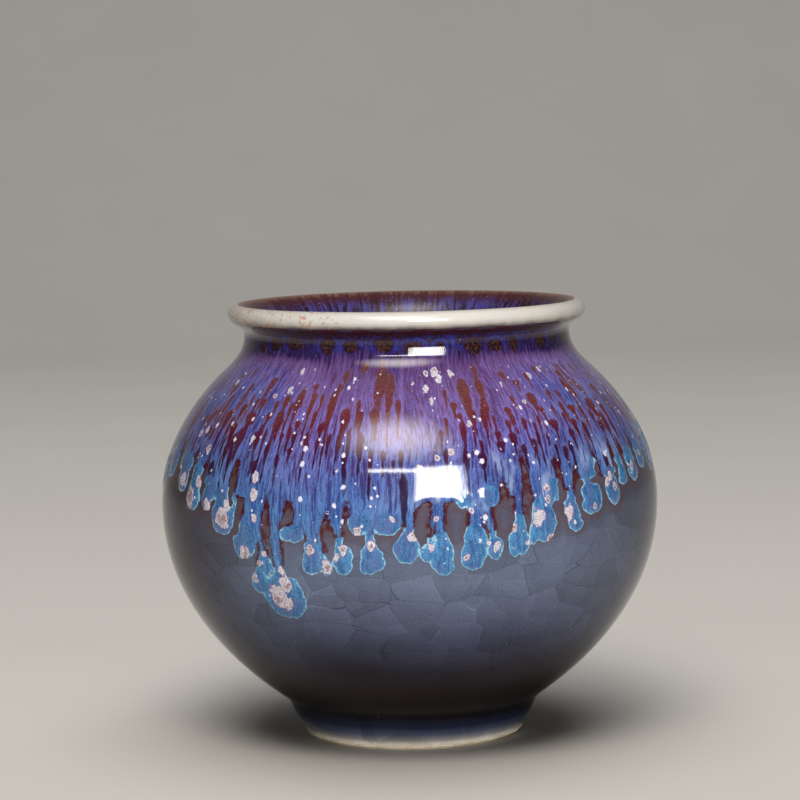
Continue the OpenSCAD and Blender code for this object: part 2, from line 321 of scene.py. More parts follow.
CRYSTAL_REACH = 1.5        # radii to where a crystal's nearness ends
CRYSTAL_STRETCH = 1.25     # of a crystal's height to its width
STREAK_MIDDLE = 0.68       # of a streak's length, from its foot up to its widest part
NECK_SPOTS = 36
NECK_SPOT_HEIGHT = 128.7
NECK_R = 52.2              # mm, of the neck at its narrowest
BELLY_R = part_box("base_glaze")[1][0] / MM


def back_runs():
    """The runs round the back, spaced evenly, with length and width varied by rule."""
    for i in range(BACK_RUNS):
        a, b, c, d = (math.sin(math.radians(wave * i)) for wave in BACK_WAVES)
        azimuth = BACK_FIRST + (BACK_LAST - BACK_FIRST) * i / (BACK_RUNS - 1) + 1.3 * a
        edge = 2 * i / (BACK_RUNS - 1) - 1
        yield (azimuth, 77 + 8 * edge**2 + 4 * b + 3 * c, 5.2 + 1.2 * d, 9.5 + 1.5 * c,
               azimuth + 0.7 * a, 3.1 + 0.7 * b)


def back_slots(runs):
    """A slot between each two runs of the back."""
    for (a, tip_a, *_), (b, tip_b, *_) in zip(runs, runs[1:]):
        low = (tip_a + tip_b) / 2 + 4
        yield (a + b) / 2, low, low + 11 + 3 * math.sin(5 * a), 1.5 + 0.4 * math.sin(3 * a)


def back_crystals(runs):
    """A crystal on most runs of the back, and a scatter of small ones above."""
    rng = np.random.default_rng(8)
    for azimuth, tip, *_ in runs:
        if rng.random() < 0.75:
            yield azimuth + rng.uniform(-1, 1), tip + rng.uniform(3, 8), rng.uniform(0.9, 2.1)
    for _ in range(BACK_SPECKS):
        yield rng.uniform(75, 285), rng.uniform(84, 122), rng.uniform(0.5, 1.2)


def signed(angle):
    """An angle in degrees as one from -180 to 180."""
    return (angle + 180) % 360 - 180


def around(azimuth, centre):
    """Distance in mm round the belly from a centre azimuth."""
    return np.radians(signed(azimuth - centre)) * BELLY_R


def half_mm(width):
    """Half a width in degrees, as mm round the belly."""
    return math.radians(width / 2) * BELLY_R


def neck_height(length, radius):
    """How far above the middle of a bulb its stem has its own width."""
    return max(length - radius, 0.4 * radius)


def tear(azimuth, s, seed):
    """Raggedness from -1 to 1, coarse and fine together."""
    return 0.6 * wobble(azimuth, s, 2.6, 2.6, seed) + 0.4 * wobble(azimuth, s, 1.2, 1.2, seed + 1)


def torn(azimuth, s, ragged):
    """The same places, nudged by up to ragged mm so that every edge comes out torn."""
    shift, drop = tear(azimuth, s, 1), tear(azimuth, s, 3)
    return azimuth + np.degrees(ragged * shift / BELLY_R), s + ragged * drop


class Overglaze:
    """Where the flowing overglaze lies on the vase, as smooth fields of azimuth and s."""

    def __init__(self, outline):
        self.outline = outline
        self.s_at = outline.s_at_height
        back = list(back_runs())
        self.runs = list(FRONT_RUNS) + back
        self.slots = list(FRONT_SLOTS) + list(back_slots(back))
        self.crystals = list(FRONT_CRYSTALS) + list(back_crystals(back))

    def edge_s(self, azimuth):
        """Distance along the outline of the curtain's lower edge, more uneven round the back."""
        turn = signed(azimuth)
        unevenness = np.interp(np.abs(turn), (70, 90), (1.3, 3.4))
        height = np.interp(turn, *zip(*CURTAIN_EDGE))
        return self.s_at(height + unevenness * wobble(azimuth, 0 * azimuth, 6, 9, 5))

    def bulb(self, azimuth, s):
        """Nearness to the bulb of a run, from 0 to 1."""
        bulb = np.zeros_like(s)
        for centre, tip, width, length, *_ in self.runs:
            radius = half_mm(width)
            y = s - self.s_at(tip) - radius
            along = np.clip(y, 0, neck_height(length, radius) - 0.5 * radius)
            near = np.hypot(around(azimuth, centre), y - along) / radius
            bulb = np.maximum(bulb, smooth_step(1.5, 0.85, near))
        return bulb

    def outside_run(self, azimuth, s, top, run):
        """Distance in mm from a run, a round bulb under a stem that sways on its way to top."""
        centre, tip, width, length, stem_centre, stem_width = run
        radius = half_mm(width)
        middle = self.s_at(tip) + radius
        x, y = around(azimuth, centre), s - middle
        sway = around(stem_centre, centre) * smooth_step(0, 1, y / np.maximum(top - middle, 1))
        neck = neck_height(length, radius)
        narrow = smooth_step(0.35 * neck, 1.15 * neck, y)
        half = radius + (half_mm(stem_width) - radius) * narrow
        stem = np.maximum(np.abs(x - sway) - half, -y)
        stem = np.maximum(stem, s - top - STEM_REACH)
        return smooth_min(np.hypot(x, y) - radius, stem, NECK_FILLET)

    def inside_slot(self, azimuth, s, slot):
        """Depth in mm inside a slot."""
        centre, low, high, width = slot
        half = half_mm(width)
        s_low, s_high = self.s_at((low, high))
        y = (s - (s_low + s_high) / 2) / ((s_high - s_low) / 2)
        return (1 - np.hypot(around(azimuth, centre) / half, y)) * half

    def depth_and_bulb(self, azimuth, s):
        """Depth inside the overglaze in mm, and nearness to the bulb of a run."""
        below_lip = self.outline.length - s
        bulb = self.bulb(azimuth, s)
        azimuth, s = torn(azimuth, s, EDGE_TEAR + BULB_TEAR * bulb)
        top = self.edge_s(azimuth)
        outside = top - s
        for run in self.runs:
            outside = smooth_min(outside, self.outside_run(azimuth, s, top, run), RUN_FILLET)
        for slot in self.slots:
            outside = -smooth_min(-outside, -self.inside_slot(azimuth, s, slot), SLOT_FILLET)
        return np.minimum(-outside, below_lip), bulb

    def crystal(self, azimuth, s):
        """Nearness to the middle of a pale crystal."""
        near = np.zeros_like(s)
        azimuth, s = torn(azimuth, s, CRYSTAL_TEAR)
        for centre, height, radius in self.crystals:
            y = (s - self.s_at(height)) / CRYSTAL_STRETCH
            distance = np.hypot(around(azimuth, centre), y)
            near = np.maximum(near, 1 - distance / (radius * CRYSTAL_REACH))
        return near

    def streak(self, azimuth, s):
        """Nearness to the middle of an iron-red streak, 0 at its edge, or of its tail."""
        near = np.full_like(s, -1.0)
        for centre, top, foot, width in FRONT_STREAKS:
            s_foot, s_top = self.s_at((foot, top))
            below = s_foot + STREAK_MIDDLE * (s_top - s_foot) - s
            y = below / np.where(below < 0, 1 - STREAK_MIDDLE, 0.85) / (s_top - s_foot)
            half = half_mm(width) * (1.1 - 0.55 * np.clip(y, 0, 1.3))
            x = np.abs(around(azimuth, centre))
            near = np.maximum(near, 1 - np.hypot(x / half, y))
            tail = smooth_step(0, 0.6, y) * smooth_step(2.3, 1.2, y)
            near = np.maximum(near, 0.65 * tail - 1.3 * x - 0.12)
        return near

    def spot(self, azimuth, s):
        """Distance from the nearest spot of the chain round the neck, in the spot's radii."""
        rng = np.random.default_rng(31)
        nearest = np.full_like(s, 9.0)
        for k in range(NECK_SPOTS):
            centre = (k + rng.uniform(-0.3, 0.3)) * 360 / NECK_SPOTS
            y = s - self.s_at(NECK_SPOT_HEIGHT + rng.uniform(-1.1, 0.7))
            width, height = rng.uniform(1.8, 3.8), rng.uniform(2.0, 3.2)
            x = around(azimuth, centre) * NECK_R / BELLY_R
            nearest = np.minimum(nearest, np.hypot(x / width, y / height))
        return nearest

    def thickness(self, depth, bulb, azimuth, s):
        """Thickness in mm at a depth inside the edge: fuller in the bulbs, thin at the lip."""
        lanes = wobble(azimuth, s, 2.4, 22, 11)
        full = CURTAIN_THICKNESS + BULB_EXTRA * bulb + LANE_RELIEF * lanes
        below_lip = self.outline.length - s
        full = full * (0.5 + 0.5 * smooth_step(0, 9, below_lip)) * smooth_step(0, 1, below_lip)
        run_in = 2.2 - 0.6 * bulb
        return full * (1 - np.exp(-np.maximum(depth, 0) / run_in))


# ---------------------------------------------------------------- meshes

SKIN_OVERLAP = 0.03        # mm that the overglaze dips into the base glaze
SKIN_COLUMNS = 840         # of the overglaze's grid
LEAST_DEPTH = 0.03         # mm, so that no cut passes through a point of the grid
HIDDEN_RATIO = 0.56        # of all faces, kept when the hidden side is thinned
SHARP = math.radians(70)   # an edge that turns by more than this looks sharp
FLOW_R = 75                # mm, radius at which the overglaze's streaks are laid out
LINER_FLOW_R = 50          # mm, the same inside the vase


def spun(azimuth, r, z):
    """Places round the vase's axis, from azimuths in degrees, radii and heights."""
    a = np.radians(azimuth)
    return np.stack([r * np.sin(a), -r * np.cos(a), z], axis=1)


def on_vase(outline, azimuth, s, lift):
    """Places in metres on the vase at distance s along an outline, lifted off it by lift mm."""
    point, normal = outline.at(s)
    r, z = (point + normal * np.asarray(lift)[:, None]).T * MM
    return spun(azimuth, r, z)


def flow_places(azimuth, s, radius):
    """Where each place lies on a cylinder of streaks, which wander sideways as they run down."""
    shift = 1.3 * wobble(azimuth, s, 13, 20, 21) + 0.55 * wobble(azimuth, s, 5, 9, 22)
    return spun(azimuth + shift, radius, s)


def make_object(name, vertices, faces, attributes=None):
    """A smooth-shaded mesh object with named float or vector values on its vertices."""
    mesh = bpy.data.meshes.new(name)
    mesh.from_pydata([tuple(v) for v in vertices], [], faces)
    mesh.update()
    mesh.polygons.foreach_set("use_smooth", [True] * len(mesh.polygons))
    for key, values in (attributes or {}).items():
        values = np.asarray(values, np.float32)
        kind = "FLOAT_VECTOR" if values.ndim == 2 else "FLOAT"
        layer = mesh.attributes.new(key, kind, "POINT")
        layer.data.foreach_set("vector" if values.ndim == 2 else "value", values.ravel())
    mesh.set_sharp_from_angle(angle=SHARP)
    obj = bpy.data.objects.new(name, mesh)
    bpy.context.scene.collection.objects.link(obj)
    return obj


def used_only(faces):
    """The vertices that faces use, in order, and the faces renumbered to match them."""
    used = np.unique(np.concatenate(faces))
    renumber = np.zeros(used[-1] + 1, int)
    renumber[used] = np.arange(len(used))
    return used, [renumber[face].tolist() for face in faces]


def turned(name, ring, columns, attributes=None):
    """A closed solid turned from a ring of (r, z) points in mm. Points on the axis are joined."""
    count = len(ring)
    azimuth = np.repeat(np.arange(columns) * 360 / columns, count)
    r, z = np.tile(ring, (columns, 1)).T * MM
    on_axis = ring[:, 0] < 1e-6
    everywhere = np.arange(columns * count)
    index = np.where(np.tile(on_axis, columns), everywhere % count, everywhere).tolist()
    faces = []
    for i in range(columns):
        here, there = i * count, (i + 1) % columns * count
        for j in range(count):
            k = (j + 1) % count
            if not (on_axis[j] and on_axis[k]):
                corners = index[here + j], index[there + j], index[there + k], index[here + k]
                faces.append(list(dict.fromkeys(corners)))
    used, faces = used_only(faces)
    values = {}
    if attributes:
        s_of_ring, make = attributes
        values = make(azimuth[used], np.tile(s_of_ring, columns)[used])
    return make_object(name, spun(azimuth, r, z)[used], faces, values)


def shell_ring(outline, thickness, s, inner_spacing=5.0):
    """The closed ring of a coat: its outline at distances s, then its hidden side, and all s."""
    back = np.linspace(outline.length, 0, round(outline.length / inner_spacing) + 1)
    inner_point, inner_normal = outline.at(back)
    ring = np.concatenate([outline.at(s)[0], inner_point - thickness * inner_normal])
    ring[:, 0] = np.maximum(ring[:, 0], 0)
    return ring, np.concatenate([s, back])


def rows_between(outline, heights, steps):
    """Distances along an outline with the given step between each two heights."""
    stops = [0, *outline.s_at_height(heights), outline.length]
    rows = [
        np.linspace(low, high, max(1, round((high - low) / step)) + 1)[:-1]
        for low, high, step in zip(stops, stops[1:], steps)
    ]
    return np.concatenate(rows + [[outline.length]])


def cut_grid(azimuth, s, depth, count):
    """The faces of a grid round the vase that lie inside the edge, where depth is 0.

    Its columns hold count points each. The new points along the edge come back as (azimuth, s)
    rows, and are numbered on from the grid's."""
    edge_points = []
    crossing = {}

    def cross(a, b):
        """The point where the grid line from a to b meets the edge."""
        low, high = min(a, b), max(a, b)
        if (low, high) not in crossing:
            t = depth[low] / (depth[low] - depth[high])
            turn = signed(azimuth[high] - azimuth[low])
            crossing[low, high] = len(s) + len(edge_points)
            edge_points.append((azimuth[low] + t * turn, s[low] + t * (s[high] - s[low])))
        return crossing[low, high]

    columns = len(s) // count
    lower = (np.arange(columns)[:, None] * count + np.arange(count - 1)[None, :]).ravel()
    beside = (lower + count) % len(s)
    cells = np.stack([lower, beside, beside + 1, lower + 1], axis=1)
    faces = []
    for cell, wet in zip(cells.tolist(), (depth > 0)[cells].tolist()):
        if all(wet):
            faces.append(cell)
        elif any(wet):
            face = []
            for k in range(4):
                onward = (k + 1) % 4
                if wet[k]:
                    face.append(cell[k])
                if wet[k] != wet[onward]:
                    face.append(cross(cell[k], cell[onward]))
            faces.append(face)
    return faces, np.array(edge_points)


def overglaze_skin(name, glaze):
    """The overglaze as a closed skin, cut along the edge of its field."""
    outline = glaze.outline
    rows = rows_between(outline, (CURTAIN_FOOT, 98, 121), (1, 0.56, 1.15, 0.7))
    rows = rows[rows >= outline.s_at_height(CURTAIN_FOOT)]
    azimuth = np.repeat(np.arange(SKIN_COLUMNS) * 360 / SKIN_COLUMNS - 180, len(rows))
    s = np.tile(rows, SKIN_COLUMNS)
    depth = glaze.depth_and_bulb(azimuth, s)[0]
    least = np.where(depth < 0, -LEAST_DEPTH, LEAST_DEPTH)
    depth = np.where(np.abs(depth) < LEAST_DEPTH, least, depth)
    outer_faces, edge_points = cut_grid(azimuth, s, depth, len(rows))

    on_edge = np.arange(len(s) + len(edge_points)) >= len(s)
    azimuth = np.concatenate([azimuth, edge_points[:, 0]])
    s = np.concatenate([s, edge_points[:, 1]])
    depth, bulb = glaze.depth_and_bulb(azimuth, s)
    depth[on_edge] = 0
    lift = glaze.thickness(depth, bulb, azimuth, s) - SKIN_OVERLAP
    outer = on_vase(outline, azimuth, s, lift)
    inner = on_vase(outline, azimuth, s, np.full(len(s), -SKIN_OVERLAP * 2))

    total = len(s)
    shared = on_edge | (s >= outline.length - 1e-6)
    opposite = np.arange(total) + np.where(shared, 0, total)
    inner_faces = [opposite[face[::-1]].tolist() for face in outer_faces]
    used, faces = used_only(outer_faces + inner_faces)
    values = {
        "flow": flow_places(azimuth, s, FLOW_R), "depth": depth, "bulb": bulb,
        "crystal": glaze.crystal(azimuth, s), "spot": glaze.spot(azimuth, s),
        "streak": glaze.streak(azimuth, s),
    }
    values = {key: value[used % total] for key, value in values.items()}
    skin = make_object(name, np.concatenate([outer, inner])[used], faces, values)
    thin_hidden_side(skin, np.nonzero(used >= total)[0])
    return skin


def thin_hidden_side(obj, hidden):
    """Takes away most of the faces on the side of the skin that lies on the base glaze."""
    group = obj.vertex_groups.new(name="hidden")
    group.add(hidden.tolist(), 1, "REPLACE")
    modifier = obj.modifiers.new("thin", "DECIMATE")
    modifier.ratio = HIDDEN_RATIO
    modifier.vertex_group = group.name
    with bpy.context.temp_override(object=obj, active_object=obj, selected_objects=[obj]):
        bpy.ops.object.modifier_apply(modifier=modifier.name)


# ---------------------------------------------------------------- materials

def colour(code):
    """A linear colour with alpha from an sRGB hex code."""
    parts = [int(code[i : i + 2], 16) / 255 for i in (0, 2, 4)]
    return tuple(c / 12.92 if c < 0.04045 else ((c + 0.055) / 1.055) ** 2.4 for c in parts) + (1,)


def add_node(tree, kind, inputs=None, **settings):
    """A new shader node, with each input linked to a socket or set to a value."""
    node = tree.nodes.new("ShaderNode" + kind)
    for key, value in settings.items():
        setattr(node, key, value)
    for key, value in (inputs or {}).items():
        if isinstance(value, bpy.types.NodeSocket):
            tree.links.new(value, node.inputs[key])
        else:
            node.inputs[key].default_value = value
    return node


class Paint:
    """A procedural material. Most methods add nodes and return their output.

    base is its colour so far, which lay() covers with one layer after another. A limit is a
    (value, low, high) that counts 0 below low and 1 above high. Low may be the greater."""

    def __init__(self, name, **constants):
        self.material = bpy.data.materials.new(name)
        self.material.use_nodes = True
        self.tree = self.material.node_tree
        self.shader = self.tree.nodes["Principled BSDF"]
        for key, value in constants.items():
            self.shader.inputs[key.replace("_", " ")].default_value = value
        position = self.add("TexCoord").outputs["Object"]
        self.place = self.stretch(position, (1 / MM, 1 / MM, 1 / MM))
        self.height = self.along(self.place, "Z")
        self.base = None

    def add(self, kind, inputs=None, **settings):
        return add_node(self.tree, kind, inputs, **settings)

    def value(self, name, output="Fac"):
        return self.add("Attribute", attribute_name=name).outputs[output]

    def vector_math(self, operation, a, b=(0, 0, 0), output="Vector"):
        return self.add("VectorMath", {0: a, 1: b}, operation=operation).outputs[output]

    def stretch(self, vector, factors):
        return self.vector_math("MULTIPLY", vector, factors)

    def drawn(self, vector, factor):
        """A vector with its upright part scaled, which draws a texture out along the flow."""
        return self.stretch(vector, (1, 1, factor))

    def joined(self, vector, other):
        return self.vector_math("ADD", vector, other)

    def along(self, vector, axis):
        return self.add("SeparateXYZ", {"Vector": vector}).outputs[axis]

    def math(self, operation, a, b=0.0):
        return self.add("Math", {0: a, 1: b}, operation=operation).outputs[0]

    def times(self, total, *others):
        for other in others:
            total = self.math("MULTIPLY", total, other)
        return total

    def plus(self, total, *others):
        for other in others:
            total = self.math("ADD", total, other)
        return total

    def swing(self, value, amount):
        """A noise value turned into one from -amount / 2 to amount / 2."""
        return self.times(self.math("SUBTRACT", value, 0.5), amount)

    def step(self, value, low, high):
        """0 below low and 1 above high, smooth between."""
        inputs = {"Value": value, "From Min": low, "From Max": high}
        return self.add("MapRange", inputs, interpolation_type="SMOOTHSTEP").outputs[0]

    def over(self, under, top, amount, *limits, blend="MIX"):
        """One colour laid over another by an amount, within limits. Either may be a hex code."""
        under, top = (colour(c) if isinstance(c, str) else c for c in (under, top))
        amount = self.times(amount, *(self.step(*limit) for limit in limits))
        inputs = {0: amount, 6: under, 7: top}
        return self.add("Mix", inputs, data_type="RGBA", blend_type=blend).outputs[2]

    def lay(self, top, amount, *limits, blend="MIX"):
        self.base = self.over(self.base, top, amount, *limits, blend=blend)

    def ramp(self, value, stops):
        """A colour for each value, from (value, hex code) stops in rising order."""
        low, high = stops[0][0], stops[-1][0]
        part = self.add("MapRange", {"Value": value, "From Min": low, "From Max": high})
        node = self.add("ValToRGB", {"Fac": part.outputs[0]})
        elements = node.color_ramp.elements
        while len(elements) < len(stops):
            elements.new(1)
        for element, (at, code) in zip(elements, stops):
            element.position = (at - low) / (high - low)
            element.color = colour(code)
        return node.outputs["Color"]

    def noise(self, vector, size, detail=2.0, distortion=0.0, output="Fac"):
        """Noise from 0 to 1 with features of about size mm."""
        inputs = {"Vector": vector, "Scale": 1 / size, "Detail": detail, "Distortion": distortion}
        return self.add("TexNoise", inputs).outputs[output]

    def warped(self, vector, source, size, reach):
        """A vector pushed about by up to reach, by noise over source of about size mm."""
        return self.joined(vector, self.stretch(self.noise(source, size, output="Color"), reach))

    def cells(self, vector, size, feature="F1", spread=1.0):
        """A Voronoi texture with cells of about size mm, as its node."""
        inputs = {"Vector": vector, "Scale": 1 / size, "Randomness": spread}
        return self.add("TexVoronoi", inputs, feature=feature)

    def inside(self, vector, cell, size):
        """The place of vector from the middle of its Voronoi cell, in cell sizes."""
        minus_middle = self.stretch(cell.outputs["Position"], (-1, -1, -1))
        return self.stretch(self.joined(vector, minus_middle), (1 / size,) * 3)

    def random(self, cell, channel):
        """One of the three random numbers of a Voronoi cell."""
        return self.add("SeparateColor", {"Color": cell.outputs["Color"]}).outputs[channel]

    def bump(self, height, depth):
        """Relief of depth mm from a height of 0 to 1."""
        inputs = {"Height": height, "Distance": depth * MM, "Strength": 1.0}
        self.tree.links.new(self.add("Bump", inputs).outputs[0], self.shader.inputs["Normal"])

    def finish(self):
        self.tree.links.new(self.base, self.shader.inputs["Base Color"])
        return self.material


def slate_paint():
    """Crackled slate-grey glaze, thin and pale at the foot, with painted shade and a painted reflection
    of a dark floor making it darkest and browner under the belly.
    """
    paint = Paint("slate_crackle_glaze", Roughness=0.1, IOR=1.38, Specular_IOR_Level=0.3)
    place, height, noise = paint.place, paint.height, paint.noise
    # Pale where the glaze thins at the foot; from about 8 to 30 mm, under the belly, painted shade and
    # a painted reflection of a dark floor make it darkest and browner
    reach = paint.plus(0.8, paint.times(paint.step(height, 3, 20), 6))
    paint.base = paint.ramp(paint.plus(height, paint.swing(noise(place, 30, 1), reach)), (
        (0, "c8bda8"), (1.6, "b2a793"), (3.0, "7a7672"), (5.0, "3f4554"), (7.5, "151a28"),
        (12, "0a0507"), (18, "140b0c"), (23, "160d0f"), (30, "1c1820"), (40, "333645"),
        (50, "474c5b"), (60, "4f5664"), (70, "484e5c"), (84, "424655"), (140, "363a4a"),
    ))
    mottle = paint.over("a4a4a8", "cfd2da", 1, (noise(place, 0.4), 0.3, 0.7))
    paint.lay(mottle, 0.5, blend="OVERLAY")
    bent = paint.warped(place, place, 22, (7, 7, 7))
    crackle(paint, paint.drawn(bent, 1.6), 13.5, 0.32)
    crackle(paint, paint.drawn(paint.joined(bent, (31, 7, 12)), 1.4), 9, 0.14)
    dust = paint.cells(place, 5)
    paint.lay("8d8e98", 0.4, (dust.outputs["Distance"], 0.05, 0.03),
              (paint.random(dust, 0), 0.55, 0.6))

    # Painted shade and a painted reflection of a dark floor: browner and darker on the flanks
    aside = paint.math("ABSOLUTE", paint.plus(paint.along(place, "X"), -8))
    paint.lay("a88c8a", 1, (aside, 44, 84), blend="MULTIPLY")

    # Iron brown between the runs, dark red close beside their stems
    depth, bulb = paint.value("depth"), paint.value("bulb")
    paint.lay("433335", 0.65, (depth, -4, -0.5), (height, 66, 76))
    paint.lay("3c0f0f", 0.85, (depth, -0.8, -0.1), (bulb, 0.5, 0.1), (height, 60, 68),
              (noise(place, 3), 0.4, 0.55))
    paint.bump(noise(place, 9), 0.04)
    return paint.finish()


def crackle(paint, vector, size, strength):
    """Lays a net of hairline cracks about size mm apart, on plates of random tone with painted shade
    that makes each lighter on one side and darker on the other.
    """
    cell = paint.cells(vector, size, spread=0.65)
    inside = paint.inside(vector, cell, size)
    # Painted shade: each plate lighter on one side and darker on the other, as if tilted to the light,
    # over a random tone per plate
    across = paint.vector_math("DOT_PRODUCT", inside, (0.3, 0.1, 0.3), "Value")
    shade = paint.over("8c8c90", "e2e2e8", paint.plus(across, paint.random(cell, 0)))
    paint.lay(shade, strength, blend="OVERLAY")
    gap = paint.cells(vector, size, "DISTANCE_TO_EDGE", 0.65).outputs["Distance"]
    dark, light = (0.5, 0.49, 0.5, 1), (1.4, 1.42, 1.46, 1)
    tint = paint.over(dark, light, 1, (paint.noise(paint.place, 26, 1), 0.46, 0.56))
    paint.lay(tint, 3.0 * strength, (gap, 0.14 / size, 0.04 / size), (paint.height, 18, 34),
              blend="MULTIPLY")


class FlowPaint(Paint):
    """The overglaze's material, with the fields and noises that its layers share."""

    def __init__(self):
        super().__init__("blue_flow_glaze", Roughness=0.08, IOR=1.5)
        self.flow = self.value("flow", "Vector")
        self.fine = self.noise(self.drawn(self.flow, 0.13), 1.2, 2, 0.3)
        self.hair = self.noise(self.drawn(self.flow, 0.12), 0.55)
        self.cloud = self.noise(self.drawn(self.flow, 0.6), 12)
        self.grain = self.noise(self.place, 0.35)
        self.depth, self.bulb = self.value("depth"), self.value("bulb")
        self.pale = None


def flow_paint():
    """Violet to blue overglaze with red-brown streaks, pale crystals and bright ragged tips."""
    paint = FlowPaint()
    flow_ground(paint)
    for width, offset in ((4.4, (0, 0, 0)), (3.2, (17, 5, 9)), (2.4, (31, 11, 2))):
        lozenges(paint, width, offset)
    ragged = paint.swing(paint.noise(paint.drawn(paint.flow, 0.35), 1.1, 3), 1.2)
    fill = paint.plus(paint.value("streak"), ragged, paint.swing(paint.grain, 0.5), 0.08)
    iron(paint, fill, paint.plus(paint.height, paint.swing(paint.cloud, 8)))
    flow_bulbs(paint)
    flow_neck(paint)
    flow_crystals(paint)
    paint.bump(paint.fine, 0.02)
    return paint.finish()


def flow_ground(paint):
    """Lays the ground: violet at the shoulder, blue below, with fine streams down the flow."""
    flow, height, fine, hair, cloud, grain = (
        paint.flow, paint.height, paint.fine, paint.hair, paint.cloud, paint.grain)
    plus, times, swing, step, lay = paint.plus, paint.times, paint.swing, paint.step, paint.lay
    sideways = paint.along(flow, "X")
    flank = times(step(paint.math("ABSOLUTE", sideways), 28, 56), step(height, 126, 121))
    lower = times(flank, plus(times(step(height, 102, 110), -7), -7))
    level = plus(height, swing(fine, 14), swing(cloud, 14), lower)
    body = paint.ramp(level, (
        (46, "2c5880"), (66, "2c5480"), (80, "284a7c"), (86, "2b4478"), (92, "304078"),
        (98, "353a7c"), (104, "413c7c"), (110, "493a6e"), (116, "493566"), (121, "452d58"),
        (124.5, "34204a"), (126.5, "1a0e2a"), (131, "200e26"), (134, "26080e"),
    ))
    pale = paint.ramp(level, (
        (46, "6890a6"), (70, "5580a6"), (82, "5076a4"), (92, "5c6ea2"), (98, "626ca2"),
        (104, "7068a2"), (110, "72649c"), (116, "6c5a92"), (121, "5a4978"), (124.5, "3e3064"),
        (126.5, "261c50"), (131, "241a48"), (134, "320d13"),
    ))
    deep = paint.ramp(level, (
        (46, "1d4474"), (70, "203a70"), (82, "2c3060"), (92, "32224e"), (104, "3a1a38"),
        (114, "4a2834"), (122, "3c2038"), (126, "1a0a14"), (134, "180508"),
    ))
    paint.base, paint.pale = body, pale
    lay(pale, 0.35, (cloud, 0.42, 0.64))
    lay(pale, 0.5, (hair, 0.54, 0.70))
    lay(pale, 0.4, (grain, 0.50, 0.64))
    lay(deep, 0.45, (grain, 0.48, 0.34))
    lay(deep, 0.72, (hair, 0.49, 0.38))
    milk = paint.noise(paint.drawn(flow, 0.7), 9, 3)
    lay("8d9ab4", 0.55, (milk, 0.5, 0.66), (height, 72, 82), (height, 106, 92), (sideways, -20, 25))
    lay(deep, 0.9, (fine, 0.46, 0.40), (height, 116, 103))


def lozenges(paint, width, offset):
    """Lays red-brown lozenges in rows about width mm apart, some missing, each of its own size.

    They are rounded above and drawn out to a point below, and few where the streaks are
    laid out one by one."""
    flow, height = paint.flow, paint.height
    plus, times, step = paint.plus, paint.times, paint.step
    place = paint.warped(paint.joined(flow, offset), paint.drawn(flow, 0.3), 2.2, (1.2, 1.2, 6))
    place = paint.drawn(place, 0.21)
    cell = paint.cells(place, width)
    inside = paint.inside(place, cell, width)
    rise = paint.along(inside, "Z")
    pinch = paint.math("MAXIMUM", plus(1.25, times(rise, -1.6)), 0.7)
    across = times(paint.vector_math("LENGTH", paint.drawn(inside, 0), output="Value"), pinch)
    distance = paint.math("SQRT", plus(times(across, across), times(rise, rise)))
    reach = plus(0.15, times(paint.random(cell, 0), 0.34), paint.swing(paint.cloud, 0.5))
    reach = plus(reach, times(step(height, 103, 86), -0.2), times(step(height, 119, 126), -0.6))
    reach = plus(reach, times(step(paint.along(flow, "Y"), -50, -57), -0.3))
    fill = plus(reach, times(distance, -1), paint.swing(paint.hair, -0.30))
    iron(paint, times(fill, 3), plus(height, times(paint.random(cell, 1), 8)))


def iron(paint, fill, level):
    """Lays iron red where fill is above 0, in a thin pale halo."""
    body = paint.ramp(level, (
        (86, "1c0a2a"), (94, "26041e"), (100, "34041a"), (104, "440a16"), (109, "501c14"),
        (114, "52281e"), (120, "502c28"), (128, "462a2a"),
    ))
    grit = paint.noise(paint.place, 0.5)
    body = paint.over(body, "6e3c26", 0.4, (grit, 0.5, 0.66), (paint.height, 96, 112))
    body = paint.over(body, "2c0c12", 0.5, (grit, 0.48, 0.34))
    paint.lay(paint.pale, 0.35, (fill, -0.55, -0.15), (fill, 0.1, 0.0))
    paint.lay(body, 0.92, (fill, -0.22, 0.32))


def flow_bulbs(paint):
    """Lays the bulbs of the runs: even blue, darker down the middle, with a pale ragged rim."""
    over, lay, ripe = paint.over, paint.lay, (paint.bulb, 0.35, 0.8)
    pool = paint.noise(paint.drawn(paint.flow, 0.4), 1.6, 3)
    bright = over("1e4470", "376890", 1, (pool, 0.36, 0.64))
    bright = over(bright, "183660", 0.7, (paint.hair, 0.46, 0.36))
    bright = over(bright, "5e94b4", 0.45, (paint.grain, 0.5, 0.66))
    bright = over(bright, "44406e", 0.6, (paint.cloud, 0.44, 0.58), (pool, 0.40, 0.58))
    lay(bright, 0.85, (paint.bulb, 0.1, 0.9))
    ragged = paint.plus(paint.depth, paint.swing(paint.noise(paint.place, 0.9), 1.4))
    lay("3f7da4", 0.4, (ragged, 1.3, 0.6), ripe)
    lay("86a6b2", 0.7, (ragged, 0.5, 0.28), ripe)

    # Dark red that seeps along the curtain's edge, away from the bulbs
    lay("340a10", 1, (ragged, 1.2, 0.4), (paint.step(*ripe), 0.6, 0.1), (paint.height, 126, 118))


def flow_neck(paint):
    """Lays brown spots under broken blue arcs round the neck, and dark maroon up to the lip."""
    place, height, noise = paint.place, paint.height, paint.noise
    spot = paint.plus(paint.value("spot"), paint.swing(noise(place, 1.8, 3), 1.1))
    band = (height, 125.5, 129), (height, 132.6, 131.4), (noise(place, 5), 0.36, 0.62)
    paint.lay("25296c", 0.9, (spot, 1.0, 1.25), (spot, 1.75, 1.4), *band)
    paint.lay("22347e", 0.72, (spot, 1.7, 2.3), *band)
    brown = paint.over("150a0c", "3c2014", 1, (noise(place, 0.9), 0.4, 0.66))
    paint.lay(brown, 0.92, (spot, 1.05, 0.7))
    uneven = paint.plus(height, paint.swing(noise(place, 2.5), 1.6))
    paint.lay("2c080d", 1, (uneven, 131.6, 132.6))


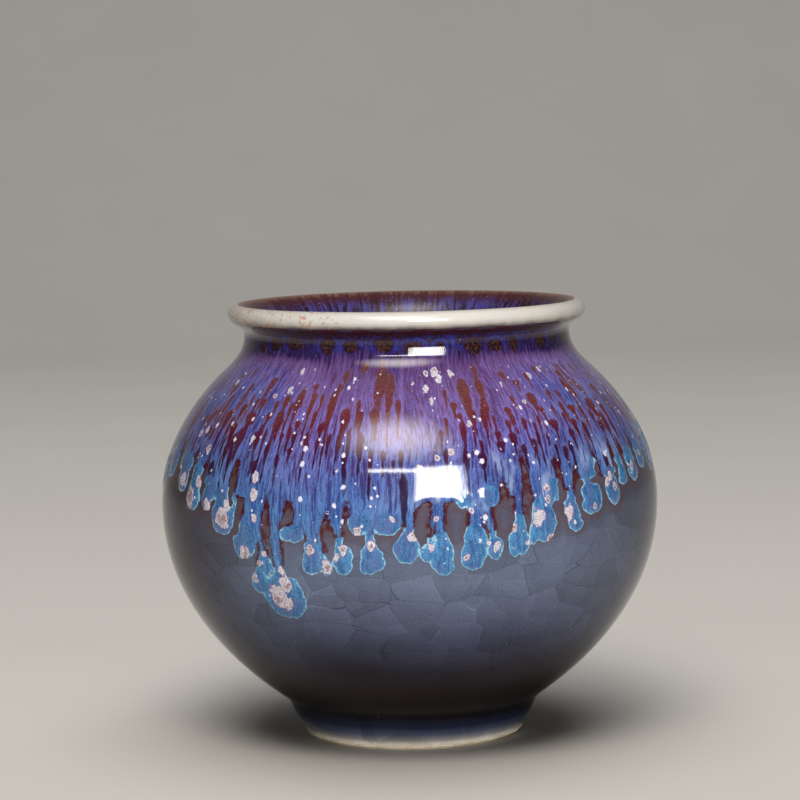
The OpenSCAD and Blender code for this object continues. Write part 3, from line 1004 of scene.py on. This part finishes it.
def flow_crystals(paint):
    """Lays pale crystals, each a ragged ring round a browner heart, and a scatter of specks."""
    place, height, grain = paint.place, paint.height, paint.grain
    noise, over, lay = paint.noise, paint.over, paint.lay
    near = paint.plus(paint.value("crystal"), paint.swing(noise(place, 1.3, 3), 0.9))
    lay(over("4a4878", "7c4a74", 1, (noise(place, 2.2, 1), 0.44, 0.6)), 0.75, (near, 0.12, 0.28))
    lay(over("807780", "b3adb2", 1, (grain, 0.40, 0.56)), 1, (near, 0.24, 0.36))
    heart = over("624850", "968288", 1, (noise(place, 0.7), 0.42, 0.6))
    lay(heart, 0.85, (near, 0.46, 0.62), (noise(place, 5, 0), 0.44, 0.54))
    for size, share in ((3.6, 0.4), (2.0, 0.5)):
        cell = paint.cells(paint.drawn(paint.flow, 0.8), size)
        reach = paint.times(paint.step(paint.random(cell, 1), share, 1.0), 0.2)
        distance = paint.plus(cell.outputs["Distance"], paint.swing(grain, 0.3))
        speck = paint.math("SUBTRACT", reach, distance)
        lay("bcb8c4", 0.9, (speck, -0.03, 0.03), (height, 124, 120))


def lip_paint():
    """Cream glaze of the lip, darker at its lower edge where it meets the dark glaze below and painted
    shade falls under the roll, with a scatter of rust specks.
    """
    paint = Paint("cream_lip_glaze", Roughness=0.14, IOR=1.5)
    place, noise = paint.place, paint.noise
    # Darker at the lower edge: painted shade under the roll of the lip, blending into the dark glaze
    # below
    paint.base = paint.ramp(paint.plus(paint.height, paint.times(noise(place, 3), 0.8)), (
        (134.3, "2c1a18"), (135.0, "625c57"), (135.9, "96928c"), (137.0, "a6a39d"),
        (139.0, "aeaba6"), (139.8, "aaa59f"), (140.3, "8c6c60"),
    ))
    paint.lay("b4aa9a", 0.25, (noise(place, 7), 0.4, 0.7))
    side = paint.vector_math("DOT_PRODUCT", place, (-0.0138, -0.0105, 0), "Value")
    paint.lay("98643f", 0.7, (side, 0.75, 0.95), (noise(place, 1.5, 3), 0.55, 0.64))
    paint.bump(noise(place, 6), 0.04)
    return paint.finish()


def liner_paint():
    """The glaze inside: red-brown at the mouth, then dark with blue-violet streaks."""
    paint = Paint("liner_glaze", Roughness=0.3, IOR=1.45)
    place, height, plus, times = paint.place, paint.height, paint.plus, paint.times
    streak = paint.noise(paint.drawn(paint.value("flow", "Vector"), 0.12), 1.1, 3)
    paint.base = paint.ramp(plus(height, times(streak, 3)), (
        (14, "232634"), (60, "22243a"), (100, "1c1838"), (128, "180f2c"), (135, "1e0c1c"),
        (138, "331720"), (140, "402222"), (141.3, "7c5c50"),
    ))
    edge = plus(height, times(paint.noise(place, 5, 3), 3))
    paint.lay("3a3670", 1, (streak, 0.42, 0.60), (edge, 139.7, 136))
    paint.lay("94707a", 0.5, (paint.noise(place, 0.6), 0.6, 0.75))
    paint.bump(streak, 0.06)
    return paint.finish()


def clay_paint(name, body, dark):
    """Bare fired clay: matt, fine grained, with darker grog specks."""
    paint = Paint(name, Roughness=0.85, IOR=1.45)
    place, noise = paint.place, paint.noise
    paint.base = paint.over(body, dark, 1, (noise(place, 5, 3), 0.35, 0.7))
    paint.lay("6b5844", 0.6, (noise(place, 0.5), 0.62, 0.72))
    paint.bump(noise(place, 0.45, 3), 0.05)
    return paint.finish()


# ---------------------------------------------------------------- the pieces

COAT_THICKNESS = 0.6       # mm, of the base and lip glazes
LINER_THICKNESS = 0.4      # mm
BASE_COLUMNS = 560
COAT_COLUMNS = 360         # of the lip and liner glazes
LIP_ROWS = 60
LINER_ROWS = 160


def place_piece(obj, material, slot, *nodes):
    """Gives a piece its material and has it stand in for CAD nodes. The slot is not used."""
    obj.data.materials.append(material)
    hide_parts(*nodes)
    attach(obj, "root")


def build_vase():
    """All the glaze coats, and materials for the clay under them."""
    base = coat_outline("base_glaze")
    lip = coat_outline("lip_glaze")
    liner = coat_outline("liner_glaze", from_top=True)
    glaze = Overglaze(base)
    slate = slate_paint()

    def near_overglaze(azimuth, s):
        depth, bulb = glaze.depth_and_bulb(azimuth, s)
        return {"depth": np.clip(depth, -6, 2), "bulb": bulb}

    def liner_flow(azimuth, s):
        return {"flow": flow_places(azimuth, s, LINER_FLOW_R)}

    rows = rows_between(base, (3, CURTAIN_FOOT, 96, 120), (0.7, 2.2, 0.8, 2.4, 0.9))
    ring, s = shell_ring(base, COAT_THICKNESS, rows)
    place_piece(turned("base_glaze_coat", ring, BASE_COLUMNS, (s, near_overglaze)),
                slate, "slate_crackle_glaze", "base_glaze")
    place_piece(overglaze_skin("flow_glaze_curtain", glaze),
                flow_paint(), "blue_flow_glaze", "flow_glaze")
    ring, s = shell_ring(lip, COAT_THICKNESS, np.linspace(0, lip.length, LIP_ROWS), 1.0)
    place_piece(turned("lip_glaze_coat", ring, COAT_COLUMNS),
                lip_paint(), "cream_lip_glaze", "lip_glaze")
    ring, s = shell_ring(liner, LINER_THICKNESS, np.linspace(0, liner.length, LINER_ROWS))
    place_piece(turned("liner_glaze_coat", ring, COAT_COLUMNS, (s, liner_flow)),
                liner_paint(), "liner_glaze", "liner_glaze")

    stoneware = clay_paint("bare_stoneware", "c8bca6", "b3a48b")
    slip = clay_paint("luting_slip", "b5a68c", "9f8f74")
    for name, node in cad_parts.items():
        if not node.hide_render:
            clay = slip if "slip" in name else stoneware
            node.data.materials.clear()
            node.data.materials.append(slate if name == "foot_well_glaze" else clay)


# ---------------------------------------------------------------- studio

AIM_HEIGHT = 0.09          # metres, where every light points
FLOOR_HALF_WIDTH = 9.0     # metres, like the rest of the floor
FLOOR_FRONT, FLOOR_BACK = -9.0, 1.5
BACKDROP_BEND = 0.8        # radius of the curve from floor to backdrop
BACKDROP_TOP = 3.0


def add_floor():
    """A plain pale floor that curves up into a backdrop behind the vase."""
    arc = [math.radians(a) for a in range(0, 91, 6)]
    path = [(FLOOR_FRONT, 0)] + [
        (FLOOR_BACK + BACKDROP_BEND * math.sin(a), BACKDROP_BEND * (1 - math.cos(a))) for a in arc
    ] + [(FLOOR_BACK + BACKDROP_BEND, BACKDROP_TOP)]
    vertices = [(x, y, z) for y, z in path for x in (-FLOOR_HALF_WIDTH, FLOOR_HALF_WIDTH)]
    faces = [(2 * i, 2 * i + 1, 2 * i + 3, 2 * i + 2) for i in range(len(path) - 1)]
    floor = make_object("studio_floor", vertices, faces)
    paint = Paint("pale_floor", Roughness=0.8)
    paint.base = paint.over("c6c3be", "cdcac5", paint.noise(paint.place, 120))
    floor.data.materials.append(paint.finish())
    return floor


def add_softbox(name, azimuth, elevation, distance, size, radiance):
    """An area light of one radiance that faces the vase."""
    data = bpy.data.lights.new(name, "AREA")
    data.shape = "RECTANGLE"
    data.size, data.size_y = size
    data.energy = radiance * size[0] * size[1] * math.pi
    light = bpy.data.objects.new(name, data)
    bpy.context.scene.collection.objects.link(light)
    light.matrix_world = (
        Matrix.Translation((0, 0, AIM_HEIGHT))
        @ Matrix.Rotation(math.radians(azimuth), 4, "Z")
        @ Matrix.Rotation(math.radians(90 - elevation), 4, "X")
        @ Matrix.Translation((0, 0, distance))
    )
    return light


def fade_out(light):
    """Fades an area light from its middle to the middles of its sides."""
    light.data.use_nodes = True
    tree = light.data.node_tree
    place = add_node(tree, "NewGeometry").outputs["Parametric"]
    aside = add_node(tree, "VectorMath", {0: place, 1: (0.5, 0.5, 0)}, operation="SUBTRACT")
    distance = add_node(tree, "VectorMath", {0: aside.outputs[0]}, operation="LENGTH")
    limits = {"Value": distance.outputs["Value"], "From Min": 0.5, "From Max": 0.0}
    fade = add_node(tree, "MapRange", limits, interpolation_type="SMOOTHERSTEP")
    tree.links.new(fade.outputs[0], tree.nodes["Emission"].inputs["Strength"])


def keep_to(lights, state, obj):
    """Has lights fall only on obj, or on everything but obj, as state says."""
    reach = bpy.data.collections.new("reach_of_" + lights[0].name)
    reach.objects.link(obj)
    reach.collection_objects[0].light_linking.link_state = state
    for light in lights:
        light.light_linking.receiver_collection = reach


def add_lights(floor):
    """A window in front, a strip beside it, a soft box above, a low fill and a floor wash.

    The window, the strip and the fill leave the floor out, so that the floor beside the foot
    stays in soft shadow, and the fill is not seen in the glaze."""
    window = add_softbox("window", 13.9, 23.6, 0.75, (0.262, 0.30), 24)
    strip = add_softbox("window_strip", -7.2, 33.2, 0.75, (0.29, 0.024), 26)
    fill = add_softbox("fill", -12, 0, 0.8, (0.3, 0.3), 7.5)
    fill.visible_glossy = False
    keep_to([window, strip, fill], "EXCLUDE", floor)
    overhead = add_softbox("overhead", -8, 55, 1.6, (1.7, 1.1), 11)
    overhead.data.color = (1, 0.93, 0.84)
    fade_out(overhead)
    keep_to([add_softbox("floor_wash", 0, 90, 2.4, (2.6, 2.6), 2.0)], "INCLUDE", floor)
    world = bpy.data.worlds.new("studio")
    bpy.context.scene.world = world
    world.use_nodes = True
    background = world.node_tree.nodes["Background"]
    background.inputs["Color"].default_value = colour("c9ccd2")
    background.inputs["Strength"].default_value = 0.1
    bpy.context.scene.view_settings.view_transform = "Standard"


add_camera()
build_vase()
add_lights(add_floor())
